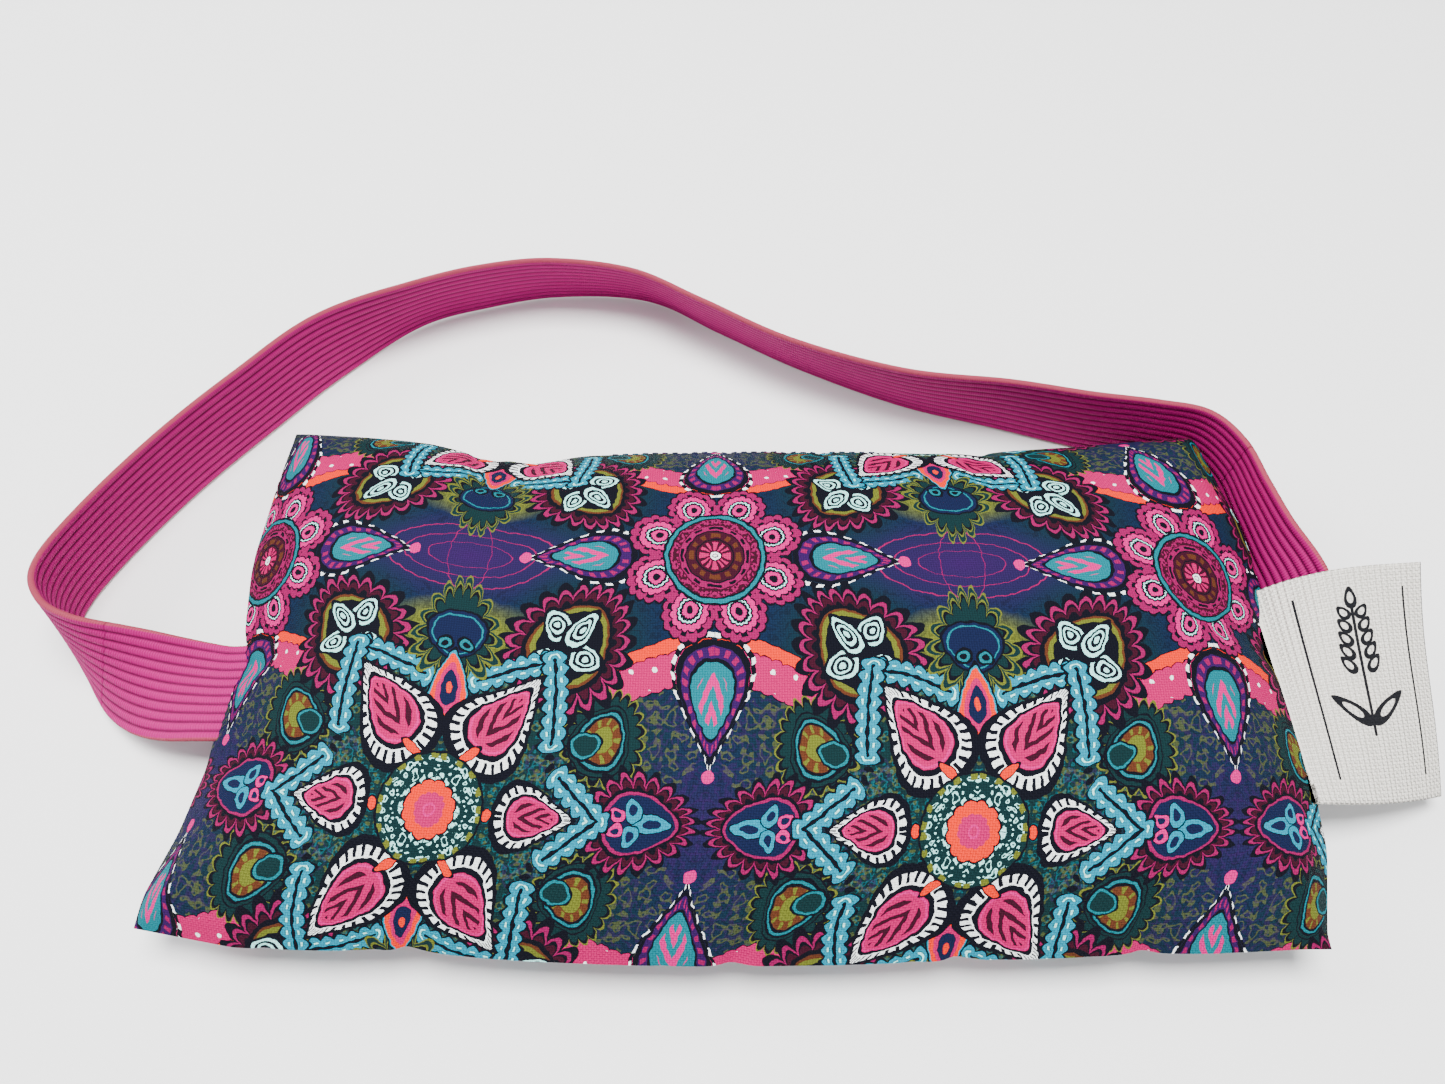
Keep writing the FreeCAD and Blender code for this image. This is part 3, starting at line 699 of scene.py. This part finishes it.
# Lays the blown shape on the table: seam outline in plan, flat underneath, broad heavy crown.
def settlePillow(points, flat, seamIds):
    seamPoints = points[seamIds]
    u, v = points[:, 0].copy(), points[:, 1].copy()
    for values, other, axis in ((u, 1, 0), (v, 0, 1)):
        for side in (-1, 1):
            half = pillow["cut"][other] / 2
            rim = seamPoints[seamPoints[:, axis] * side > 0.72 * np.abs(seamPoints[:, axis]).max()]
            inner = rim[np.abs(rim[:, other]) < half * 0.97]
            curve = np.polyfit(inner[:, other], inner[:, axis], 4)
            edge = np.polyval(curve, np.clip(points[:, other], -half * 0.95, half * 0.95))
            mask = values * side > 0
            values[mask] = np.clip(points[mask, axis] / np.abs(edge[mask]), -1.02, 1.02)
    # the cloth spreads back out as the pillow settles flatter than it was blown
    keep = pillow["gathered"]
    u = keep * u + (1 - keep) * flat[:, 0] / pillow["cut"][0] / 5
    v = keep * v + (1 - keep) * flat[:, 1] / pillow["cut"][1] / 5
    shareX, shareY = (u + 1) / 2, (v + 1) / 2
    readY, readX = v * 54.0, u * 101.0
    left, right = (np.interp(readY, *outline[key]) for key in ("left", "right"))
    front, back = (np.interp(readX, *outline[key]) for key in ("front", "back"))
    settled = np.zeros_like(points)
    settled[:, 0] = (left + (right - left) * shareX) * mm
    settled[:, 1] = (front + (back - front) * shareY) * mm
    seam, rise = pillow["seam"], pillow["crown"] - pillow["seam"]
    lift = np.abs(points[:, 2]) / np.abs(points[:, 2]).max()
    settled[:, 2] = np.where(
        points[:, 2] >= 0,
        seam + rise * 1.03 * (1 - (1 - lift) ** 1.42),
        seam - seam * (1 - (1 - lift) ** 2.3),
    )
    top = smoothShare(0.3, 0.9, lift) * (points[:, 2] > 0)
    x, y = settled[:, 0] / mm, settled[:, 1] / mm
    lumps = (
        0.35 * np.sin(x * 0.09 + 1.3 * np.sin(y * 0.07)) + 0.3 * np.sin(y * 0.16 + 0.05 * x + 1.0)
        + 0.25 * np.sin(x * 0.21 - y * 0.13)
    )
    settled[:, 2] += top * lumps * 0.6 * mm
    # folds pressed into the filled cloth: middle, direction, half length, half width, depth
    for middle, heading, length, width, depth in creases:
        away = np.stack([x - middle[0], y - middle[1]], 1)
        turn = math.radians(heading)
        along = away[:, 0] * math.cos(turn) + away[:, 1] * math.sin(turn)
        aside = away[:, 1] * math.cos(turn) - away[:, 0] * math.sin(turn)
        dent = np.exp(-(along / length) ** 2 - (aside / width) ** 2)
        settled[:, 2] -= (points[:, 2] > 0) * dent * smoothShare(0.0, 0.35, lift) * depth * mm
    return settled


def buildPillow():
    points, flat, faces, sides = panelMesh()
    across, along = pillow["cells"]
    seamIds = sorted({
        sides[1, column, row] for column in range(across + 1) for row in range(along + 1)
        if row in (0, along) or column in (0, across)
    })
    blown = inflatePanels(points, faces)
    settled = settlePillow(blown, flat, seamIds)
    settled[:, 2] = np.maximum(settled[:, 2], 0.0)
    half = len(faces) // 2
    pieces = []
    for name, part in (("coverFront", faces[:half]), ("coverBack", faces[half:])):
        used = sorted({corner for face in part for corner in face})
        order = {old: new for new, old in enumerate(used)}
        shared = [[order[corner] for corner in face] for face in part]
        piece = makeMesh(name, settled[used], shared, flat[used])
        smooth = piece.modifiers.new("smooth", "SUBSURF")
        smooth.levels = smooth.render_levels = 1
        smooth.boundary_smooth = "PRESERVE_CORNERS"
        pieces.append(piece)
    ring = [sides[1, c, 0] for c in range(across)] + [sides[1, across, r] for r in range(along)]
    ring += [sides[1, c, along] for c in range(across, 0, -1)] + [sides[1, 0, r] for r in range(along, 0, -1)]
    return pieces, settled[ring]


(coverFront, coverBack), seamLine = buildPillow()
printedCotton = makePrintedCotton()
for piece, node in ((coverFront, "cover_front"), (coverBack, "cover_back")):
    piece.data.materials.append(printedCotton)
    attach(piece, "pillow")
    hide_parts(node)
print("pillow cover ready")


# Elastic strap.
# Millimetres. The cuts are where the loop parts from its sewn ends: along X at the left, Y at the right.
strap = {
    "width": 20.0, "ribs": 11, "thick": 0.7, "thin": 0.38, "rim": 0.12, "step": 0.8,
    "leftCut": -123.8, "rightCut": 46, "rightSide": 90,
}
# x, y, height and lean in millimetres and degrees: 0 stands on edge, 90 lies flat
strapRoute = [
    (-95.6, -6, 10, -90), (-103, -6, 10, -90), (-112.5, -4.8, 10, -70), (-121.5, -1.8, 10, -45),
    (-130, 2.8, 10, -19), (-136.6, 8.6, 10.1, -6), (-139.4, 17, 10.1, 0), (-134.6, 30.4, 10.1, 2),
    (-124.2, 49.2, 10.1, 4), (-112, 66.5, 10.1, 5), (-98.4, 83.6, 10.1, 3), (-80.4, 97.4, 10, -16),
    (-64, 104, 9.9, -18), (-46, 107.4, 9.7, -21), (-24.8, 105, 9.5, -26), (-7.3, 94.4, 9.5, -25),
    (12.7, 82, 9.5, -25), (36.8, 71.3, 9.8, -19), (59.6, 65.8, 10.1, -9), (76.5, 61.4, 10.1, -4),
    (90.5, 58.6, 10.1, -1), (100.6, 55.3, 10.1, 2), (105.6, 47.4, 10.1, 4), (107, 37, 10.1, 7),
    (108.2, 27, 10, 13), (109.8, 18, 9.6, 26), (110.4, 9.5, 7.4, 47), (109, 1.5, 7.4, 66),
    (105.6, -4.6, 9.3, 84), (101.5, -6, 10, 90), (98.5, -6, 10, 90), (95.6, -6, 10, 90),
]


# Rounded ribs side by side: places across the band and half thickness, once round.
def ribbedSection():
    count = strap["ribs"] * 8
    along = np.linspace(-0.5, 0.5, count + 1)
    swell = np.abs(np.sin(np.pi * strap["ribs"] * (along + 0.5))) ** 0.7
    half = strap["thin"] + (strap["thick"] - strap["thin"]) * swell
    half[0] = half[-1] = strap["rim"]
    faceUp = np.stack([along * strap["width"], half], 1)
    faceDown = np.stack([along[::-1] * strap["width"], -half[::-1]], 1)
    return np.vstack([faceUp, faceDown])


def bandPiece(name, path, run, section, low, high):
    kept = np.nonzero((run >= low) & (run <= high))[0]
    travel = np.gradient(path[:, :3], axis=0)
    travel /= np.linalg.norm(travel, axis=1)[:, None]
    points, cloth = [], []
    for step in kept:
        ahead = travel[step]
        across = np.array([ahead[1], -ahead[0], 0.0])
        across /= np.linalg.norm(across)
        tilt = math.radians(path[step, 3])
        upward = np.array([0, 0, math.cos(tilt)]) - across * math.sin(tilt)
        face = np.cross(ahead, upward)
        face /= np.linalg.norm(face)
        for side, depth in section:
            points.append((path[step, :3] + upward * side + face * depth) * mm)
            cloth.append((run[step] * 0.01, side * 0.01))
    size, faces = len(section), []
    for row in range(len(kept) - 1):
        for corner in range(size):
            after = (corner + 1) % size
            first, second = row * size, (row + 1) * size
            faces.append((first + corner, first + after, second + after, second + corner))
    last = (len(kept) - 1) * size
    faces.append(tuple(range(size))[::-1])
    faces.append(tuple(range(last, last + size)))
    band = makeMesh(name, points, faces, cloth)
    for cut in (-1, -2):
        band.data.polygons[cut].use_smooth = False
    return band


def buildStrap():
    path, run = sampleRoute(strapRoute, strap["step"])
    section = ribbedSection()
    early = run < run[-1] / 2
    leftCut = run[early & (path[:, 0] <= strap["leftCut"])][0]
    rightCut = run[(path[:, 0] > strap["rightSide"]) & (path[:, 1] < strap["rightCut"])][0]
    pieces = [
        bandPiece("strapEndLeft", path, run, section, 0, leftCut),
        bandPiece("strapLoop", path, run, section, leftCut, rightCut),
        bandPiece("strapEndRight", path, run, section, rightCut, run[-1]),
    ]
    return pieces, (rightCut - leftCut) * mm


def makeElastic():
    material, tree, surface = newMaterial("pinkElastic")
    cloth = clothPlace(tree)
    parts = splitVector(tree, cloth)
    rib = calc(tree, "MULTIPLY", parts[1], 100.0 * strap["ribs"] / strap["width"])
    rib = calc(tree, "ADD", rib, strap["ribs"] / 2.0)
    share = calc(tree, "FRACT", rib)
    side = calc(tree, "ABSOLUTE", calc(tree, "SUBTRACT", share, 0.5))
    # little slanted stitches over each rib
    slant = calc(tree, "MULTIPLY_ADD", side, 0.5, calc(tree, "MULTIPLY", parts[0], 205.0))
    shift = calc(tree, "MULTIPLY", calc(tree, "FLOOR", rib), 0.5)
    stitch = calc(tree, "SINE", calc(tree, "MULTIPLY", calc(tree, "ADD", slant, shift), math.tau))
    uneven = noiseNode(tree, cloth, 40.0, 2.0)
    # painted shade: darker in the grooves between the ribs
    grooveShade = calc(tree, "MULTIPLY", calc(tree, "SUBTRACT", side, 0.27), 4.4, clamp=True)
    colour = mixColour(tree, grooveShade, toLinear(160, 0, 100), toLinear(62, 0, 34))
    shade = calc(tree, "MULTIPLY_ADD", stitch, 0.16, 0.18, clamp=True)
    colour = mixColour(tree, shade, colour, toLinear(104, 0, 54))
    patch = calc(tree, "MULTIPLY", uneven.outputs["Fac"], 0.12)
    colour = mixColour(tree, patch, colour, toLinear(180, 10, 120))
    rim = calc(tree, "GREATER_THAN", calc(tree, "ABSOLUTE", parts[1]), 0.0955)
    colour = mixColour(tree, calc(tree, "MULTIPLY", rim, 0.7), colour, toLinear(150, 60, 72))
    addFinish(tree, surface, colour, 0.62, 0.12)
    addRelief(tree, surface, stitch, 0.5, 0.00012)
    return material


(strapEndLeft, strapLoop, strapEndRight), loopLength = buildStrap()
pinkElastic = makeElastic()
strapPieces = {
    "strap_end_left": strapEndLeft, "elastic_strap": strapLoop, "strap_end_right": strapEndRight,
}
for node, piece in strapPieces.items():
    piece.data.materials.append(pinkElastic)
    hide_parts(node)
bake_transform(strapEndLeft)
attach(strapLoop, "strap")
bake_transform(strapEndRight)
print("strap ready, loop", round(loopLength, 4))


# Woven tape label.
# Millimetres. Root is where the label leaves the seam, caught the share of its reach inside it.
label = {"steps": 44, "rows": 52, "thickness": 0.5, "root": 103.2, "reach": 28.0, "caught": 0.15}


def labelPoint(share, across):
    reach = label["root"] + label["reach"] * share
    front = np.array([reach - 1.5 * share, -28.4 + 4 * share ** 2, 11.15 - 7.4 * share ** 1.4])
    back = np.array([reach, 15.6 + 1.0 * share, 11.15 + 9.2 * (1 - (1 - share) ** 3.2)])
    point = front + (back - front) * across
    # a slow wave and a curl towards the outer back corner
    point[2] += 0.3 * share * math.sin(5.2 * across + 0.6) + 0.7 * share ** 3 * across ** 5
    point[0] += 0.15 * share * math.sin(7 * across)
    return point


def buildLabel():
    steps, rows = label["steps"], label["rows"]
    caught = -label["caught"] * np.array([1, 2 / 3, 1 / 3])
    shares = np.concatenate([caught, np.linspace(0, 1, steps + 1)])
    grid = np.array([[labelPoint(max(s, 0), a) + [label["reach"] * min(s, 0), 0, 0]
                      for a in np.linspace(0, 1, rows + 1)] for s in shares])
    alongS, alongA = np.gradient(grid, axis=0), np.gradient(grid, axis=1)
    normal = np.cross(alongS, alongA)
    normal /= np.linalg.norm(normal, axis=2)[:, :, None]
    points, cloth = [], []
    for face in (1, -1):
        layer = grid + normal * label["thickness"] / 2 * face
        points += list(layer.reshape(-1, 3) * mm)
        for share in shares:
            for across in np.linspace(0, 1, rows + 1):
                cloth.append((share * 0.28, (across - 0.5) * 0.44))
    width, high = rows + 1, len(shares)
    offset = width * high
    faces = []
    for s in range(high - 1):
        for a in range(rows):
            ring = [s * width + a, (s + 1) * width + a, (s + 1) * width + a + 1, s * width + a + 1]
            faces.append(ring)
            faces.append([corner + offset for corner in ring[::-1]])
    rim = list(range(width)) + [s * width + rows for s in range(1, high)]
    rim += [(high - 1) * width + a for a in range(rows - 1, -1, -1)]
    rim += [s * width for s in range(high - 2, 0, -1)]
    for here, after in zip(rim, rim[1:] + rim[:1]):
        faces.append((here, after, after + offset, here + offset))
    return makeMesh("tapeLabel", points, faces, cloth)


# A small drawn sprig: a stem with pairs of buds, between two thin rules.
def makeTape():
    material, tree, surface = newMaterial("cottonTape")
    cloth = clothPlace(tree)
    weave = placeGroup(tree, weaveGroup, {"Cloth": cloth, "Pitch": 0.0055})[0]
    parts = splitVector(tree, cloth)
    cord = calc(tree, "SINE", calc(tree, "MULTIPLY", parts[0], 640.0))
    height = calc(tree, "MULTIPLY_ADD", cord, 0.5, weave)
    fleck = noiseNode(tree, cloth, 90.0, 3.0)
    colour = mixColour(tree, fleck.outputs["Fac"], toLinear(214, 210, 200), toLinear(236, 232, 224))
    # painted shade: darker where the cords and weave are low
    shade = calc(tree, "MULTIPLY_ADD", height, -0.2, 0.26, clamp=True)
    colour = mixColour(tree, shade, colour, toLinear(150, 142, 130))
    millimetres = addNode(
        tree, "ShaderNodeVectorMath", {0: cloth, "Scale": 100.0}, operation="SCALE"
    ).outputs[0]
    inkColour = toLinear(16, 17, 22)
    # buds in pairs, smaller towards the tip, then the stem and the two rules beside it
    buds = [((14.0, 16.2), 90, (2.2, 1.1))]
    for pair in range(5):
        for side in (-1, 1):
            centre = (14.0 + side * (2.5 - 0.2 * pair), 3.4 + 2.5 * pair)
            buds.append((centre, 90 - side * 36, (2.1 - 0.12 * pair, 1.05)))
    for side in (-1, 1):
        buds.append(((14.0 + side * 3.6, -5.0), 90 - side * 50, (4.6, 1.4)))
    for centre, angle, reach in buds:
        bud = motif(tree, millimetres, centre, angle, reach, taper=0.35)["Field"]
        within = calc(tree, "LESS_THAN", bud, 1.0)
        share = calc(tree, "MULTIPLY", within, calc(tree, "GREATER_THAN", bud, 0.5))
        colour = mixColour(tree, share, colour, inkColour)
    rules = [((14.0, 2.2), 12.0, 0.3), ((4.6, 0.0), 17.5, 0.2), ((24.2, 0.0), 17.5, 0.2)]
    for centre, reach, width in rules:
        line = stroke(tree, millimetres, centre, 90, reach, width)["Field"]
        colour = mixColour(tree, calc(tree, "LESS_THAN", line, 1.0), colour, inkColour)
    addFinish(tree, surface, colour, 0.9, 0.2)
    addRelief(tree, surface, height, 0.8, 0.0003)
    return material


tapeLabel = buildLabel()
cottonTape = makeTape()
tapeLabel.data.materials.append(cottonTape)
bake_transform(tapeLabel)
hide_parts("side_label")
print("label ready")


# Seam thread.
def threadMaterial(name, tone):
    material, tree, surface = newMaterial(name)
    cloth = addNode(tree, "ShaderNodeTexCoord").outputs["Object"]
    twist = noiseNode(tree, cloth, 2200.0, 1.0)
    dark = toLinear(*[value * 0.6 for value in tone])
    colour = mixColour(tree, twist.outputs["Fac"], dark, toLinear(*tone))
    addFinish(tree, surface, colour, 0.7)
    return material


# Short rounded stitches laid along a closed line of points.
def stitchMesh(name, line, pitch, length, radius, keep):
    closed = np.vstack([line, line[:1]])
    run = np.concatenate([[0.0], np.cumsum(np.linalg.norm(np.diff(closed, axis=0), axis=1))])
    count = int(run[-1] / pitch)
    points, faces = [], []
    for step in range(count):
        ends = [step * pitch + side * length / 2 for side in (-1, -0.7, 0.7, 1)]
        middle = np.array([np.interp(step * pitch, run, closed[:, k]) for k in range(3)])
        if not keep(middle):
            continue
        spots = [np.array([np.interp(e % run[-1], run, closed[:, k]) for k in range(3)]) for e in ends]
        ahead = spots[-1] - spots[0]
        ahead /= np.linalg.norm(ahead)
        side = np.cross(ahead, [0, 0, 1])
        side /= np.linalg.norm(side)
        rise = np.cross(side, ahead)
        first = len(points)
        for spot, share in zip(spots, (0.35, 1.0, 1.0, 0.35)):
            for corner in range(6):
                turn = corner * math.tau / 6
                points.append(spot + (side * math.cos(turn) + rise * math.sin(turn)) * radius * share)
        for ring in range(3):
            for corner in range(6):
                after = (corner + 1) % 6
                a, b = first + ring * 6, first + ring * 6 + 6
                faces.append((a + corner, a + after, b + after, b + corner))
        faces.append(tuple(range(first, first + 6))[::-1])
        faces.append(tuple(range(first + 18, first + 24)))
    return makeMesh(name, points, faces)


navyThread = threadMaterial("navyThread", (26, 36, 74))
paleThread = threadMaterial("paleThread", (226, 220, 206))


# The turning gap in the back edge, closed by hand.
def inGap(spot):
    return abs(spot[0]) < 0.03 and spot[1] > 0.03


# Where the machine stitches show: not over the strap at the left, nor over the strap and label at the right.
def showsStitch(spot):
    atStrap = abs(spot[1] + 0.006) < 0.0115 and spot[0] < 0
    atLabel = spot[0] > 0.09 and -0.031 < spot[1] < 0.018
    return not (atStrap or atLabel or inGap(spot))


# pitch, stitch length and thread radius, in metres
seamInside = seamLine * [0.9965, 0.9935, 1]
seamThread = stitchMesh("seamThread", seamInside, 0.003, 0.0016, 0.00013, showsStitch)
closingThread = stitchMesh("closingThread", seamLine + [0, 0, 0.0001], 0.0022, 0.0013, 0.00016, inGap)
for piece, node in ((seamThread, "cover_seam_stitching"), (closingThread, "closing_stitches")):
    piece.data.materials.append(navyThread)
    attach(piece, "pillow")
    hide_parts(node)


# What the cover hides.
def plainMaterial(name, tones, scale, roughness):
    material, tree, surface = newMaterial(name)
    place = addNode(tree, "ShaderNodeTexCoord").outputs["Object"]
    speckle = noiseNode(tree, place, scale, 3.0)
    colour = mixColour(tree, speckle.outputs["Fac"], toLinear(*tones[0]), toLinear(*tones[1]))
    addFinish(tree, surface, colour, roughness)
    addRelief(tree, surface, speckle.outputs["Fac"], 0.3, 0.0003)
    return material


calico = plainMaterial("calico", ((206, 192, 164), (232, 222, 200)), 900.0, 0.9)
flaxSeed = plainMaterial("flaxSeed", ((92, 54, 26), (150, 98, 52)), 500.0, 0.45)
lavender = plainMaterial("lavender", ((92, 78, 132), (138, 124, 160)), 700.0, 0.85)
finishes = {
    "inner_bag_front": calico, "inner_bag_back": calico, "flax_seed_fill": flaxSeed,
    "lavender_buds": lavender, "label_sewn_edge": cottonTape, "label_stitching": paleThread,
    "strap_tack_left": navyThread, "strap_tack_right": navyThread, "inner_bag_stitching": paleThread,
}
for node, material in finishes.items():
    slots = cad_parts[node].material_slots
    for place in slots:
        place.link = "OBJECT"
        place.material = material
print("inner pieces finished")


# Floor, light and camera.
floor = makeMesh("floor", [(-3, -3, 0), (3, -3, 0), (3, 3, 0), (-3, 3, 0)], [(0, 1, 2, 3)])
floorMaterial, _, floorSurface = newMaterial("paleFloor")
floorSurface.inputs["Base Color"].default_value = (0.86, 0.86, 0.86, 1)
floorSurface.inputs["Roughness"].default_value = 0.6
floor.data.materials.append(floorMaterial)
floor.location.z = -0.0002


lightTarget = (0, 0.02, 0)


def addArea(name, place, size, power, tone):
    light = bpy.data.lights.new(name, "AREA")
    light.shape = "RECTANGLE"
    light.size, light.size_y = size
    light.energy = power
    light.color = tone
    lamp = bpy.data.objects.new(name, light)
    lamp.location = place
    lamp.rotation_euler = (Vector(lightTarget) - Vector(place)).to_track_quat("-Z", "Y").to_euler()
    bpy.context.scene.collection.objects.link(lamp)


addArea("overheadLight", (0.0, 0.1, 1.0), (0.6, 0.45), 30.0, (1.0, 0.995, 0.985))
addArea("windowLight", (-0.75, 0.35, 0.55), (0.6, 0.5), 8.0, (0.98, 0.99, 1.0))
addArea("frontFill", (0.3, -0.6, 0.7), (0.9, 0.6), 4.0, (0.97, 0.98, 1.0))
world = bpy.data.worlds.new("studio")
world.use_nodes = True
world.node_tree.nodes["Background"].inputs["Color"].default_value = (0.95, 0.97, 1.0, 1)
world.node_tree.nodes["Background"].inputs["Strength"].default_value = 0.5
bpy.context.scene.world = world

eye = bpy.data.cameras.new("eye")
eye.lens = 26.16  # millimetres
eye.sensor_width = 36.0
eye.clip_start = 0.005
camera = bpy.data.objects.new("eye", eye)
camera.location = (-0.0045, -0.0915, 0.1945)
camera.rotation_euler = (math.radians(90 - 57), 0, 0)  # looks 57 degrees down
bpy.context.scene.collection.objects.link(camera)
bpy.context.scene.camera = camera

print("scene ready")
